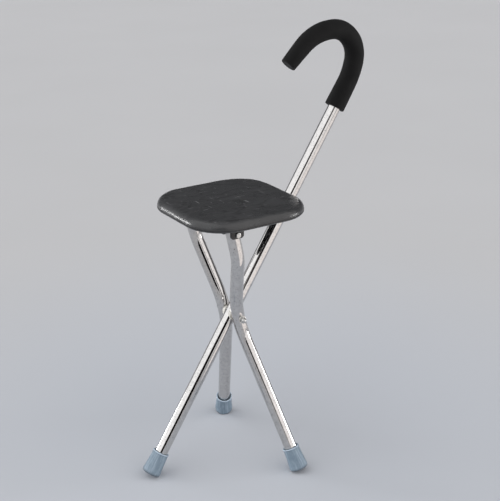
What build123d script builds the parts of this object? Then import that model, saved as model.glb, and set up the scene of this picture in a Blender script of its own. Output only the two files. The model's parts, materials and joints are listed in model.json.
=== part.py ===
from build123d import *
import os
from math import acos, cos, radians, sin, sqrt, tan

# A folding seat cane in its open, seated position.
# Working frame: the pivot bolt lies along Y above the origin, the crook points to +X,
# the floor is Z = 0. The finished pieces are moved together at the end, so that the
# origin is the middle of the model's box on the floor.

# Tubes and stance
tube_diameter = 22.0
tube_wall = 1.2
pivot_height = 268.0
main_lean = 32.7  # main tube from the vertical, top towards +X
leg_lean = 12.2  # legs from the vertical, top towards -X
leg_splay = 22.5  # each leg from the middle plane, inside its leaning plane

# Crook handle, measured along the main tube from the pivot
crook_start = 434.5
crook_bends = ((112.5, 21.7), (47.3, 99.7), (88.9, 45.1))  # radius and turn of each arc
crook_tip = 35.0
grip_start = 391.0
grip_wall = 6.0
grip_end_round = 1.2
grip_overhang = 1.0  # foam past the end of the tube
plug_flange = 1.4
plug_depth = 12.0

# Legs, measured from the pivot in each leg's leaning plane
spacer_gap = 1.56  # between the main tube and a leg at the pivot
waist_radius = 110.0
shoulder_radius = 85.0
hinge_spread = 68.0
leg_above_hinge = 7.5

# Rubber feet
foot_height = 41.0
foot_base_wall = 5.0
foot_base_round = 3.0
foot_waist_wall = 2.9
foot_band_height = 7.0
foot_lip_height = 5.0
foot_lip_wall = 3.4
foot_mouth_gap = 1.2
foot_mouth_depth = 2.5
foot_floor = 9.0
foot_washer_thickness = 1.5
tread_radii = (4.0, 8.5)
tread_width = 2.2
tread_depth = 1.2

# Seat
seat_size = 212.0
seat_thickness = 18.0
seat_corner = 66.0
seat_lower_round = 4.5
seat_side_land = 0.5  # upright part of the side, between its two rounds
seat_middle_height = 463.5
seat_wall = 4.0
seat_rim_land = 5.0
seat_tube_gap = 1.4
rib_thickness = 2.4
rib_count = 6
rib_above_rim = 6.0

# Brackets and latch
leg_seat_gap = 1.0  # between a folded leg and the seat's rim
ear_width = 24.0
ear_thickness = 4.5
ear_below_hinge = 6.5
ear_round = 5.0
plate_thickness = 3.0
plate_above_rim = 2.5
plate_length = 48.0
plate_margin = 4.0
boss_radius = 4.6
latch_pin_below_seat = 18.2
latch_pin_diameter = 6.0
latch_pin_head = 1.8
latch_side_gap = 2.0
latch_plate_length = 28.0
latch_plate_width = 42.0
latch_back_inset = 42.0
latch_wall = 5.0
latch_reach_down = 6.5

# Fasteners
pivot_bolt_diameter = 6.0
pivot_head_width = 10.0
pivot_head_height = 4.0
pivot_washer_diameter = 14.0
pivot_washer_thickness = 1.2
dome_nut_height = 4.5
dome_radius = 4.3
hinge_bolt_diameter = 5.0
hinge_head_width = 8.0
hinge_head_height = 3.6
hinge_nut_height = 5.0
hinge_washer_diameter = 14.0
hinge_washer_thickness = 1.0
screw_diameter = 4.0
screw_head_diameter = 7.2
screw_head_height = 2.2
screw_length = 9.0
screw_socket = 2.5

# Clearances
running_gap = 0.08
side_gap = 0.3
contact_gap = 0.3

# Directions and places that follow from the sizes above
tube_radius = tube_diameter / 2
bore_radius = tube_radius - tube_wall
grip_radius = tube_radius + grip_wall
foot_base_radius = tube_radius + foot_base_wall
foot_waist_radius = tube_radius + foot_waist_wall
foot_lip_radius = tube_radius + foot_lip_wall
pivot = Vector(0, 0, pivot_height)
side_way = Vector(0, 1, 0)
main_way = Vector(sin(radians(main_lean)), 0, cos(radians(main_lean)))
leg_way = Vector(-sin(radians(leg_lean)), 0, cos(radians(leg_lean)))
# local X runs up the tube, local Y towards the inside of the crook
cane_plane = Plane(origin=pivot, x_dir=main_way, z_dir=(0, -1, 0))

seat_bottom = seat_middle_height - seat_thickness / 2
seat_top = seat_bottom + seat_thickness
seat_upper_round = seat_thickness - seat_lower_round - seat_side_land
rim_round_height = seat_bottom + seat_lower_round
rim_centre_gap = (tube_radius + seat_lower_round + seat_tube_gap) / cos(radians(main_lean))
seat_front = (
    (rim_round_height - pivot_height) * tan(radians(main_lean)) - rim_centre_gap + seat_lower_round
)
seat_centre = seat_front - seat_size / 2
hinge_height = seat_bottom - tube_radius - leg_seat_gap
hinge_along = (hinge_height - pivot_height) / cos(radians(leg_lean))
hinge_x = -hinge_along * sin(radians(leg_lean))
waist_middle = tube_diameter + spacer_gap
# how far the bend keeps a leg's middle from the corner where its two straight runs would meet
waist_spread = waist_middle - waist_radius * (1 / cos(radians(leg_splay)) - 1)
# a pivot washer stands on the hollow side of the leg's bend, so it rests on its own edge
bend_hollow = waist_radius - tube_radius
washer_rise = bend_hollow - sqrt(bend_hollow**2 - (pivot_washer_diameter / 2) ** 2)
leg_outside = waist_middle + tube_radius + washer_rise
ear_inside = tube_radius + side_gap + hinge_washer_thickness
ear_outside = ear_inside + ear_thickness
plate_bottom = seat_bottom + plate_above_rim
plate_top = plate_bottom + plate_thickness
plate_width = 2 * ear_outside + plate_margin
pocket_inset = seat_lower_round + seat_rim_land
pocket_top = seat_top - seat_wall
latch_pin_rise = seat_bottom - latch_pin_below_seat - pivot_height
latch_pin_centre = pivot + main_way * (latch_pin_rise / main_way.Z)
latch_inside = tube_radius + latch_side_gap
latch_outside = latch_inside + ear_thickness
latch_slot_radius = latch_pin_diameter / 2 + contact_gap


def leg_down(side):
    """The way down the lower run of a leg: side is -1 for the front leg, 1 for the rear."""
    splay = radians(leg_splay)
    return leg_way * -cos(splay) + side_way * (side * sin(splay))


def base_height(up_way):
    """Height of a foot's base centre, so that its lowest edge just meets the floor."""
    lean = acos(up_way.Z)
    flat_radius = foot_base_radius - foot_base_round
    return foot_base_round * (1 - cos(lean)) + flat_radius * sin(lean)


def base_point(start, down_way):
    """Where the tube's line from start meets the height of the foot's base centre."""
    drop = start.Z - base_height(down_way * -1)
    return start + down_way * (drop / -down_way.Z)


def leg_corner(side):
    """The virtual corner at a leg's waist, where its two straight runs would meet."""
    return pivot + side_way * (side * waist_spread)


def hinge_point(side):
    return Vector(hinge_x, side * hinge_spread, hinge_height)


main_base = base_point(pivot, main_way * -1)
leg_bases = {side: base_point(leg_corner(side), leg_down(side)) for side in (-1, 1)}
foot_inside = foot_floor + foot_washer_thickness


def finish(builder, label):
    builder.part.label = label
    return builder.part


def cane_section(place):
    """The plane across the main tube at a distance along it from the pivot."""
    return Plane(origin=pivot + main_way * place, x_dir=side_way, z_dir=main_way)


def crook_line(start, past_end):
    """Centre line of the main tube from start to past_end beyond its free end."""
    with BuildLine(cane_plane) as line:
        run = Line((start, 0), (crook_start, 0))
        for radius, turn in crook_bends:
            run = JernArc(run @ 1, run % 1, radius, turn)
        Line(run @ 1, run @ 1 + (run % 1) * (crook_tip + past_end))
    return line


def make_main_tube():
    low_end = foot_inside - (main_base - pivot).length
    with BuildPart() as main_tube:
        line = crook_line(low_end, 0)
        with BuildSketch(cane_section(low_end)):
            Circle(tube_radius)
            Circle(bore_radius, mode=Mode.SUBTRACT)
        sweep(path=line.wire())
        with BuildSketch(Plane(origin=pivot, z_dir=side_way)):
            Circle(pivot_bolt_diameter / 2 + running_gap)
        extrude(amount=tube_diameter, both=True, mode=Mode.SUBTRACT)
        with BuildSketch(Plane(origin=latch_pin_centre, z_dir=side_way)):
            Circle(latch_pin_diameter / 2)
        extrude(amount=tube_diameter, both=True, mode=Mode.SUBTRACT)
    return finish(main_tube, "main_tube")


def make_handle_grip():
    with BuildPart() as handle_grip:
        line = crook_line(grip_start, grip_overhang)
        with BuildSketch(cane_section(grip_start)):
            Circle(grip_radius)
            Circle(tube_radius, mode=Mode.SUBTRACT)
        sweep(path=line.wire())
        ends = handle_grip.faces().filter_by(GeomType.PLANE)
        rims = [face.outer_wire().edge() for face in ends]
        fillet(rims, radius=grip_end_round)
    return finish(handle_grip, "handle_grip")


def make_handle_end_plug():
    line = crook_line(grip_start, 0)
    tube_end = line.wire() @ 1
    out_way = line.wire() % 1
    with BuildPart() as handle_end_plug:
        with BuildSketch(Plane(origin=tube_end, z_dir=out_way)):
            Circle(tube_radius - foot_mouth_gap)
        extrude(amount=plug_flange)
        fillet(handle_end_plug.edges().sort_by(Axis(tube_end, out_way))[-1], radius=1.0)
        with BuildSketch(Plane(origin=tube_end, z_dir=out_way * -1)):
            Circle(bore_radius)
        extrude(amount=plug_depth)
    return finish(handle_end_plug, "handle_end_plug")


def make_foot(label, base, down_way):
    """A rubber foot, turned about the tube's line, with a ringed tread under its base."""
    up_way = down_way * -1
    out_way = up_way.cross(side_way).normalized()
    mouth = foot_height - foot_mouth_depth
    lip = foot_height - foot_lip_height
    with BuildPart() as foot:
        with BuildSketch(Plane(origin=base, x_dir=out_way, z_dir=out_way.cross(up_way))):
            with BuildLine():
                Polyline(
                    (0, 0),
                    (foot_base_radius, 0),
                    (foot_base_radius, foot_band_height),
                    (foot_waist_radius, lip - foot_mouth_depth),
                    (foot_lip_radius, lip),
                    (foot_lip_radius, foot_height),
                    (tube_radius + foot_mouth_gap, foot_height),
                    (tube_radius, mouth),
                    (tube_radius, foot_floor),
                    (0, foot_floor),
                    close=True,
                )
            base_face = make_face()
            corners = base_face.vertices().sort_by(Axis.X)
            fillet(corners[-2:].sort_by(Axis.Y)[0], radius=foot_base_round)
            for radius in tread_radii:
                with Locations((radius + tread_width / 2, tread_depth / 2)):
                    Rectangle(tread_width, tread_depth, mode=Mode.SUBTRACT)
        revolve(axis=Axis(base, up_way))
    return finish(foot, label)


def make_foot_washer(label, base, down_way):
    """Steel disc moulded above the rubber floor, which the end of the tube stands on."""
    up_way = down_way * -1
    with BuildPart() as washer:
        with BuildSketch(Plane(origin=base + up_way * foot_floor, z_dir=up_way)):
            Circle(tube_radius)
        extrude(amount=foot_washer_thickness)
    return finish(washer, label)


def leg_plane(side):
    """Local X runs up the leaning plane from the pivot, local Y out to the leg's side."""
    return Plane(origin=pivot, x_dir=leg_way, z_dir=leg_way.cross(side_way * side))


def make_leg(label, side):
    foot_along = (leg_bases[side] - leg_corner(side)).length - foot_inside
    shoulder = (hinge_spread - waist_spread) / tan(radians(leg_splay))
    splay = radians(leg_splay)
    low_end = (-foot_along * cos(splay), waist_spread + foot_along * sin(splay))
    with BuildPart() as leg:
        with BuildLine(leg_plane(side)) as line:
            FilletPolyline(
                low_end,
                (0, waist_spread),
                (shoulder, hinge_spread),
                (hinge_along + leg_above_hinge, hinge_spread),
                radius=[waist_radius, shoulder_radius],
            )
        with BuildSketch(Plane(origin=line.wire() @ 0, z_dir=line.wire() % 0)):
            Circle(tube_radius)
            Circle(bore_radius, mode=Mode.SUBTRACT)
        sweep(path=line.wire())
        with BuildSketch(Plane(origin=leg_corner(side), z_dir=side_way)):
            Circle(pivot_bolt_diameter / 2)
        extrude(amount=waist_middle + tube_diameter, both=True, mode=Mode.SUBTRACT)
        with BuildSketch(Plane(origin=hinge_point(side), z_dir=side_way)):
            Circle(hinge_bolt_diameter / 2 + running_gap)
        extrude(amount=tube_diameter, both=True, mode=Mode.SUBTRACT)
    return finish(leg, label)


def make_leg_plug(label, side):
    """Plastic cap that closes the top of a leg, short enough to clear the hinge bolt."""
    leg_end = hinge_point(side) + leg_way * leg_above_hinge
    stem = leg_above_hinge - hinge_bolt_diameter
    with BuildPart() as plug:
        with BuildSketch(Plane(origin=leg_end, z_dir=leg_way)):
            Circle(tube_radius - tube_wall / 2)
        extrude(amount=tube_wall)
        with BuildSketch(Plane(origin=leg_end, z_dir=leg_way * -1)):
            Circle(bore_radius)
        extrude(amount=stem)
    return finish(plug, label)


def make_spacer(label, side):
    """Nylon saddle that fills the gap between the main tube and a leg at the pivot."""
    face = side * (waist_middle - tube_radius - side_gap)
    with BuildPart() as spacer:
        with BuildSketch(Plane(origin=pivot + side_way * face, z_dir=side_way * -side)):
            Circle(tube_radius - side_gap * 3)
            Circle(pivot_bolt_diameter / 2 + running_gap, mode=Mode.SUBTRACT)
        extrude(amount=abs(face) / 2)
        with BuildSketch(cane_section(-tube_diameter)):
            Circle(tube_radius)
        extrude(amount=2 * tube_diameter, mode=Mode.SUBTRACT)
    return finish(spacer, label)


def make_bolt(label, seat_point, way, diameter, length, head_width, head_height):
    """Hexagon bolt: its head sits on seat_point and its shank runs the given way."""
    with BuildPart() as bolt:
        with BuildSketch(Plane(origin=seat_point, x_dir=(0, 0, 1), z_dir=way * -1)):
            RegularPolygon(head_width / 2, 6, major_radius=False)
        extrude(amount=head_height)
        chamfer(bolt.faces().sort_by(Axis(seat_point, way))[0].edges(), length=0.5)
        with BuildSketch(Plane(origin=seat_point, z_dir=way)):
            Circle(diameter / 2)
        extrude(amount=length)
        chamfer(bolt.edges().sort_by(Axis(seat_point, way))[-1], length=0.4)
    return finish(bolt, label)


def make_pivot_bolt():
    seat_point = pivot + side_way * (leg_outside + pivot_washer_thickness)
    length = 2 * (leg_outside + pivot_washer_thickness) + dome_nut_height
    return make_bolt(
        "pivot_bolt", seat_point, side_way * -1,
        pivot_bolt_diameter, length, pivot_head_width, pivot_head_height,
    )


def make_pivot_nut():
    """Dome nut on the front end of the pivot bolt, with a blind hole."""
    seat_point = pivot - side_way * (leg_outside + pivot_washer_thickness)
    out_way = side_way * -1
    with BuildPart() as pivot_nut:
        with BuildSketch(Plane(origin=seat_point, x_dir=(0, 0, 1), z_dir=out_way)):
            RegularPolygon(pivot_head_width / 2, 6, major_radius=False)
        extrude(amount=dome_nut_height)
        chamfer(pivot_nut.faces().sort_by(Axis(seat_point, out_way))[-1].edges(), length=0.5)
        with Locations(seat_point + out_way * dome_nut_height):
            Sphere(dome_radius)
        with BuildSketch(Plane(origin=seat_point, z_dir=out_way)):
            Circle(pivot_bolt_diameter / 2)
        extrude(amount=dome_nut_height + side_gap, mode=Mode.SUBTRACT)
    return finish(pivot_nut, "pivot_nut")


def make_pivot_washers():
    with BuildPart() as pivot_washers:
        for side in (-1, 1):
            seat_point = pivot + side_way * (side * leg_outside)
            with BuildSketch(Plane(origin=seat_point, z_dir=side_way * side)):
                Circle(pivot_washer_diameter / 2)
                Circle(pivot_bolt_diameter / 2, mode=Mode.SUBTRACT)
            extrude(amount=pivot_washer_thickness)
    return finish(pivot_washers, "pivot_washers")


def make_latch_pin():
    """Cross pin pressed through the main tube, with a flat head outside each latch ear."""
    reach = latch_outside + contact_gap
    with BuildPart() as latch_pin:
        with BuildSketch(Plane(origin=latch_pin_centre, z_dir=side_way)):
            Circle(latch_pin_diameter / 2)
        extrude(amount=reach + latch_pin_head, both=True)
        for side in (-1, 1):
            with BuildSketch(
                Plane(origin=latch_pin_centre + side_way * (side * reach), z_dir=side_way * side)
            ):
                Circle(latch_pin_diameter * 0.8)
            extrude(amount=latch_pin_head)
    return finish(latch_pin, "latch_pin")


def screw_points(side):
    """Where the four screws of one hinge bracket go up into the seat."""
    across = ear_inside - screw_head_diameter / 2 - side_gap
    along = (ear_width + plate_length) / 4
    centre = hinge_point(side)
    return [
        (centre.X + along * x_sign, centre.Y + across * y_sign)
        for x_sign in (-1, 1)
        for y_sign in (-1, 1)
    ]


latch_back = seat_front - latch_back_inset
latch_screw_points = [
    (latch_back + latch_plate_length * share, y_sign * latch_inside / 2)
    for share in (0.25, 0.75)
    for y_sign in (-1, 1)
]
all_screw_points = screw_points(-1) + screw_points(1) + latch_screw_points


def make_seat_board():
    """Moulded seat: flat top, wide round rim, ribs and screw bosses in its hollow underside."""
    pocket_size = seat_size - 2 * pocket_inset
    rib_pitch = pocket_size / rib_count
    rib_bottom = seat_bottom + rib_above_rim
    with BuildPart() as seat_board:
        with BuildSketch(Plane.XY.offset(seat_bottom)):
            with Locations((seat_centre, 0)):
                RectangleRounded(seat_size, seat_size, seat_corner)
        extrude(amount=seat_thickness)
        top_face = seat_board.faces().sort_by(Axis.Z)[-1]
        fillet(top_face.edges(), radius=seat_upper_round)
        bottom_face = seat_board.faces().sort_by(Axis.Z)[0]
        fillet(bottom_face.edges(), radius=seat_lower_round)
        with BuildSketch(Plane.XY.offset(seat_bottom)):
            with Locations((seat_centre, 0)):
                RectangleRounded(pocket_size, pocket_size, seat_corner - pocket_inset)
        extrude(amount=pocket_top - seat_bottom, mode=Mode.SUBTRACT)
        with BuildSketch(Plane.XY.offset(seat_bottom)):
            with Locations((hinge_x, -hinge_spread), (hinge_x, hinge_spread)):
                RectangleRounded(
                    plate_length + 2 * side_gap, plate_width + 2 * side_gap, ear_round
                )
        extrude(amount=plate_top - seat_bottom, mode=Mode.SUBTRACT)
        with BuildSketch(Plane.XY.offset(rib_bottom)):
            with Locations((seat_centre, 0)):
                with GridLocations(rib_pitch, 0, rib_count - 1, 1):
                    Rectangle(rib_thickness, pocket_size)
                with GridLocations(0, rib_pitch, 1, rib_count - 1):
                    Rectangle(pocket_size, rib_thickness)
                RectangleRounded(
                    pocket_size, pocket_size, seat_corner - pocket_inset, mode=Mode.INTERSECT
                )
        extrude(amount=pocket_top - rib_bottom)
        with BuildSketch(Plane.XY.offset(plate_top)):
            with Locations(*all_screw_points):
                Circle(boss_radius)
        extrude(amount=pocket_top - plate_top)
        with BuildSketch(Plane.XY.offset(plate_top)):
            with Locations(*all_screw_points):
                Circle(screw_diameter / 2)
        extrude(amount=screw_length - plate_thickness, mode=Mode.SUBTRACT)
    return finish(seat_board, "seat_board")


def make_bracket(label, side):
    """Clevis under the seat: a screwed plate with an ear on each side of the leg's top."""
    centre = hinge_point(side)
    with BuildPart() as bracket:
        with BuildSketch(Plane.XY.offset(plate_bottom)):
            with Locations((centre.X, centre.Y)):
                RectangleRounded(plate_length, plate_width, ear_round)
        extrude(amount=plate_thickness)
        ear_top = plate_bottom - hinge_height
        for way in (-1, 1):
            ear_face = centre + side_way * (way * ear_inside)
            with BuildSketch(Plane(origin=ear_face, x_dir=(1, 0, 0), z_dir=side_way * -1)):
                with BuildLine():
                    Polyline(
                        (-ear_width / 2, ear_top),
                        (-ear_width / 2, -ear_below_hinge),
                        (ear_width / 2, -ear_below_hinge),
                        (ear_width / 2, ear_top),
                        close=True,
                    )
                ear = make_face()
                fillet(ear.vertices().sort_by(Axis.Y)[:2], radius=ear_round)
            extrude(amount=-way * ear_thickness)
        with BuildSketch(Plane(origin=centre, z_dir=side_way)):
            Circle(hinge_bolt_diameter / 2)
        extrude(amount=plate_width, both=True, mode=Mode.SUBTRACT)
        with BuildSketch(Plane.XY.offset(plate_bottom)):
            with Locations(*screw_points(side)):
                Circle(screw_diameter / 2)
        extrude(amount=plate_thickness, mode=Mode.SUBTRACT)
    return finish(bracket, label)


def make_screws(label, points):
    """Button-head screws that hold a plate up against the bosses of the seat."""
    head_plane = Plane.XY.offset(plate_bottom)
    with BuildPart() as screws:
        with BuildSketch(head_plane):
            with Locations(*points):
                Circle(screw_head_diameter / 2)
        extrude(amount=-screw_head_height)
        lowest = screws.faces().group_by(Axis.Z)[0]
        fillet(lowest.edges(), radius=screw_head_height / 2)
        with BuildSketch(head_plane):
            with Locations(*points):
                Circle(screw_diameter / 2)
        extrude(amount=screw_length)
        with BuildSketch(head_plane.offset(-screw_head_height)):
            with Locations(*points):
                RegularPolygon(screw_socket / 2, 6, major_radius=False)
        extrude(amount=screw_head_height / 2, mode=Mode.SUBTRACT)
    return finish(screws, label)


def make_latch_hook():
    """Plate under the seat's front with two hooked ears that drop over the latch pin."""
    pin = latch_pin_centre
    nose = pin.X + latch_slot_radius + latch_wall
    roof = pin.Z + latch_slot_radius + latch_wall
    throat = pin.X - latch_slot_radius
    under_rim = seat_bottom - contact_gap
    back = latch_back + latch_wall
    with BuildPart() as latch_hook:
        with BuildSketch(Plane.XY.offset(plate_bottom)):
            with Locations((latch_back + latch_plate_length / 2, 0)):
                RectangleRounded(latch_plate_length, latch_plate_width, ear_round)
        extrude(amount=plate_thickness)
        with BuildSketch(Plane.XZ.offset(-latch_outside)) as ear:
            with BuildLine():
                Polyline(
                    (back, plate_bottom),
                    (latch_back + latch_plate_length, plate_bottom),
                    (latch_back + latch_plate_length, under_rim),
                    (nose - latch_wall, under_rim),
                    (nose, roof),
                    (nose, pin.Z - latch_reach_down),
                    (nose - latch_wall, pin.Z - latch_reach_down),
                    (nose - latch_wall, pin.Z),
                )
                ThreePointArc(
                    (nose - latch_wall, pin.Z),
                    (pin.X, pin.Z + latch_slot_radius),
                    (throat, pin.Z),
                )
                Polyline(
                    (throat, pin.Z),
                    (throat, roof - latch_wall),
                    (back, seat_bottom - latch_wall),
                    (back, plate_bottom),
                )
            make_face()
        extrude(amount=2 * latch_outside)
        with BuildSketch(Plane.XY.offset(plate_bottom)):
            with Locations((pin.X, 0)):
                Rectangle(seat_size, 2 * latch_inside)
        extrude(amount=-seat_thickness * 2, mode=Mode.SUBTRACT)
        with BuildSketch(Plane.XY.offset(plate_bottom)):
            with Locations(*latch_screw_points):
                Circle(screw_diameter / 2)
        extrude(amount=plate_thickness, mode=Mode.SUBTRACT)
    return finish(latch_hook, "latch_hook")


def make_hinge_bolt(label, side):
    """Bolt through both ears and the leg's top, with its head on the outer ear."""
    seat_point = hinge_point(side) + side_way * (side * ear_outside)
    length = 2 * ear_outside + hinge_nut_height
    return make_bolt(
        label, seat_point, side_way * -side,
        hinge_bolt_diameter, length, hinge_head_width, hinge_head_height,
    )


def make_hinge_nuts():
    with BuildPart() as hinge_nuts:
        for side in (-1, 1):
            seat_point = hinge_point(side) - side_way * (side * ear_outside)
            with BuildSketch(Plane(origin=seat_point, x_dir=(0, 0, 1), z_dir=side_way * -side)):
                RegularPolygon(hinge_head_width / 2, 6, major_radius=False)
                Circle(hinge_bolt_diameter / 2, mode=Mode.SUBTRACT)
            extrude(amount=hinge_nut_height)
    return finish(hinge_nuts, "hinge_nuts")


def make_hinge_washers():
    """Nylon discs between the leg's top and the ears, clear of the leg by the side gap."""
    with BuildPart() as hinge_washers:
        for side in (-1, 1):
            for way in (-1, 1):
                ear_face = hinge_point(side) + side_way * (way * ear_inside)
                with BuildSketch(Plane(origin=ear_face, z_dir=side_way * -way)):
                    Circle(hinge_washer_diameter / 2)
                    Circle(hinge_bolt_diameter / 2, mode=Mode.SUBTRACT)
                extrude(amount=hinge_washer_thickness)
    return finish(hinge_washers, "hinge_washers")


pieces = [
    make_main_tube(),
    make_handle_grip(),
    make_handle_end_plug(),
    make_foot("main_foot", main_base, main_way * -1),
    make_foot_washer("main_foot_washer", main_base, main_way * -1),
    make_spacer("front_spacer", -1),
    make_spacer("rear_spacer", 1),
    make_latch_pin(),
    make_leg("front_leg", -1),
    make_leg("rear_leg", 1),
    make_foot("front_foot", leg_bases[-1], leg_down(-1)),
    make_foot("rear_foot", leg_bases[1], leg_down(1)),
    make_foot_washer("front_foot_washer", leg_bases[-1], leg_down(-1)),
    make_foot_washer("rear_foot_washer", leg_bases[1], leg_down(1)),
    make_leg_plug("front_leg_plug", -1),
    make_leg_plug("rear_leg_plug", 1),
    make_pivot_bolt(),
    make_pivot_nut(),
    make_pivot_washers(),
    make_seat_board(),
    make_bracket("front_bracket", -1),
    make_bracket("rear_bracket", 1),
    make_screws("bracket_screws", screw_points(-1) + screw_points(1)),
    make_latch_hook(),
    make_screws("latch_screws", latch_screw_points),
    make_hinge_bolt("front_hinge_bolt", -1),
    make_hinge_bolt("rear_hinge_bolt", 1),
    make_hinge_nuts(),
    make_hinge_washers(),
]

# Move everything together: the origin becomes the middle of the box, on the floor.
boxes = [piece.bounding_box() for piece in pieces]
low_x = min(box.min.X for box in boxes)
high_x = max(box.max.X for box in boxes)
origin_shift = -(low_x + high_x) / 2

os.makedirs("parts", exist_ok=True)
for piece in pieces:
    placed = piece.moved(Location((origin_shift, 0, 0)))
    placed.label = piece.label
    export_step(placed, f"parts/{piece.label}.step")
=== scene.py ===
# %% [markdown]
# # A folding seat cane, dressed for the studio
# The real object is a walking cane of bent steel tube that opens into a three-legged seat. A long main
# tube ends in a crook handle under a foam sleeve, two bent legs are bolted across it, and a moulded seat
# hinges on their tops. The working model already holds every size, joint and fit, so it could be rendered
# as it is, but its foam, seat and feet are plain. Here the sound pieces only get a finish, and the plain
# ones are remade, in metres and in the same place, so that everything still folds.

# %% Load the working model
import json
from math import asin, atan2, cos, degrees, pi, radians, sin, sqrt, tan

import bmesh
import bpy
from mathutils import Matrix, Vector, noise


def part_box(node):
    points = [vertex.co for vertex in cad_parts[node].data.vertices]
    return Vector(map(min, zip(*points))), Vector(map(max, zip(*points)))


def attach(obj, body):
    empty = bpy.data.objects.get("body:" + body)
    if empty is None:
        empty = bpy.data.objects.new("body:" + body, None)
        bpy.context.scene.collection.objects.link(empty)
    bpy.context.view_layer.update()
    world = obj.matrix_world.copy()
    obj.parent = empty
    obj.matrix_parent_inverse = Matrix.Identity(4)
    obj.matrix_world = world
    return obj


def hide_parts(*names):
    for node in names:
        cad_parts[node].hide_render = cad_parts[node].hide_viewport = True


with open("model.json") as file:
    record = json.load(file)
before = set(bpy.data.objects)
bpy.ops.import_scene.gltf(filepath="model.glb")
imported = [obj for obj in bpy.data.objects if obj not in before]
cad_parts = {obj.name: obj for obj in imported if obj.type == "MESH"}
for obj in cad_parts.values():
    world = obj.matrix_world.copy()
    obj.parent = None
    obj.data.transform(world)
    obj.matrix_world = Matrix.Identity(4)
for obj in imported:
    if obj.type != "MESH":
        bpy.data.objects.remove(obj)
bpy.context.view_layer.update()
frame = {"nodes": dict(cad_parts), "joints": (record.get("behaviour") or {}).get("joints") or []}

MM = 0.001
scene = bpy.context.scene

# %% [markdown]
# ## Where things are
# On the bench, a maker would measure from two pins: the pivot bolt that holds the tubes together, and the
# hinge bolts under the seat. They could be typed in again, but then a change to the model would leave the
# looks behind, so both come from the model's joints. The main tube's lean comes from the steel disc
# inside its foot, which sits on the tube's own line, and the lean of the legs from the two pins.

# %% Pins and tube directions
joints = {joint["name"]: joint for joint in frame["joints"]}
pivot = Vector(joints["legs_fold"]["pos_m"])
hinge = Vector(joints["seat_fold"]["pos_m"])
SIDES = {"front": -1, "rear": 1}
ACROSS = Vector((0, 1, 0))


def middle(node):
    low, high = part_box(node)
    return (low + high) / 2


main_way = (pivot - middle("main_foot_washer")).normalized()
main_lean = atan2(main_way.x, main_way.z)
leg_way = (hinge - pivot).normalized()
print("main tube leans", round(degrees(main_lean), 1), "and the legs", round(degrees(asin(leg_way.x)), 1))

# %% [markdown]
# ## The camera
# The object is looked at from the left of its front and from above its handle, through a long lens, which
# keeps the near and far feet almost the same size. A camera can be aimed with a tracking constraint, but
# a turn, a tilt and a small roll say exactly what a photographer does with a tripod head.

# %% Camera
camera_data = bpy.data.cameras.new("camera")
camera_data.lens = 78
camera_data.sensor_width = 36
camera = bpy.data.objects.new("camera", camera_data)
scene.collection.objects.link(camera)
scene.camera = camera
CAMERA_PLACE = Vector((-0.929, -1.446, 1.034))
CAMERA_TURN, CAMERA_LOOK_DOWN, CAMERA_ROLL = -32.57, 21.07, -0.47
turn = Matrix.Rotation(radians(CAMERA_TURN), 4, "Z")
tilt = Matrix.Rotation(radians(90 - CAMERA_LOOK_DOWN), 4, "X")
roll = Matrix.Rotation(radians(CAMERA_ROLL), 4, "Z")
camera.matrix_world = Matrix.Translation(CAMERA_PLACE) @ turn @ tilt @ roll
print("camera stands", round((CAMERA_PLACE - pivot).length, 2), "m from the pivot")

# %% [markdown]
# ## A helper for node trees
# Every finish below is a small tree of nodes. Nodes can be added one call at a time, which takes four
# lines each, so this helper makes one node, sets its options, and either links or fills its sockets.


# %% Node helper
def node(tree, kind, inputs=None, **settings):
    made = tree.nodes.new(kind)
    for name, value in settings.items():
        setattr(made, name, value)
    for socket, value in (inputs or {}).items():
        if isinstance(value, bpy.types.NodeSocket):
            tree.links.new(value, made.inputs[socket])
        else:
            made.inputs[socket].default_value = value
    return made


# %% [markdown]
# ## The studio
# Polished tube shows whatever stands around it, so the lights are drawn as a room: a wide wall of light
# that wraps round the left from near the camera to the back, a smaller and warmer panel to the right of
# the camera, a soft ceiling, and a dark patch low down around the camera, where a photographer stands.
# That patch is what puts the thin dark line down a bright tube. Behind the object on the right the room
# falls away, which gives tubes and rims a dark outline. Two small strong lamps stand low, one behind on
# the left and one on the right, for the glints along tubes and rims. Area lamps would do it, but their
# light fades over the floor. A studio painted on the sky lights it evenly.

# %% Studio light
world = bpy.data.worlds.new("studio")
world.use_nodes = True
scene.world = world
sky = world.node_tree
sky.nodes.clear()
way = node(sky, "ShaderNodeTexCoord").outputs["Generated"]


def toward(light_way, half_angle, softness, low, high):
    """High inside a round patch of the sky, and low outside it."""
    facing = node(sky, "ShaderNodeVectorMath", {0: way, 1: Vector(light_way).normalized()},
                  operation="DOT_PRODUCT")
    return node(sky, "ShaderNodeMapRange", {
        "Value": facing.outputs["Value"],
        "From Min": cos(radians(half_angle + softness)),
        "From Max": cos(radians(half_angle - softness)),
        "To Min": low, "To Max": high,
    }, interpolation_type="SMOOTHSTEP").outputs["Result"]


def scaled(colour, amount):
    inputs = {0: colour, "Scale": amount}
    return node(sky, "ShaderNodeVectorMath", inputs, operation="SCALE").outputs["Vector"]


def together(first, second):
    return node(sky, "ShaderNodeVectorMath", {0: first, 1: second}).outputs["Vector"]


ROOM, WHITE, WARM = (0.27, 0.275, 0.29), (1.0, 1.0, 1.0), (1.0, 0.96, 0.935)
DIM_BACK, DIM_HALF, DIM_BLUR, DIM_SHARE = (0.75, 0.62, 0.15), 42, 25, 0.35
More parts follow.
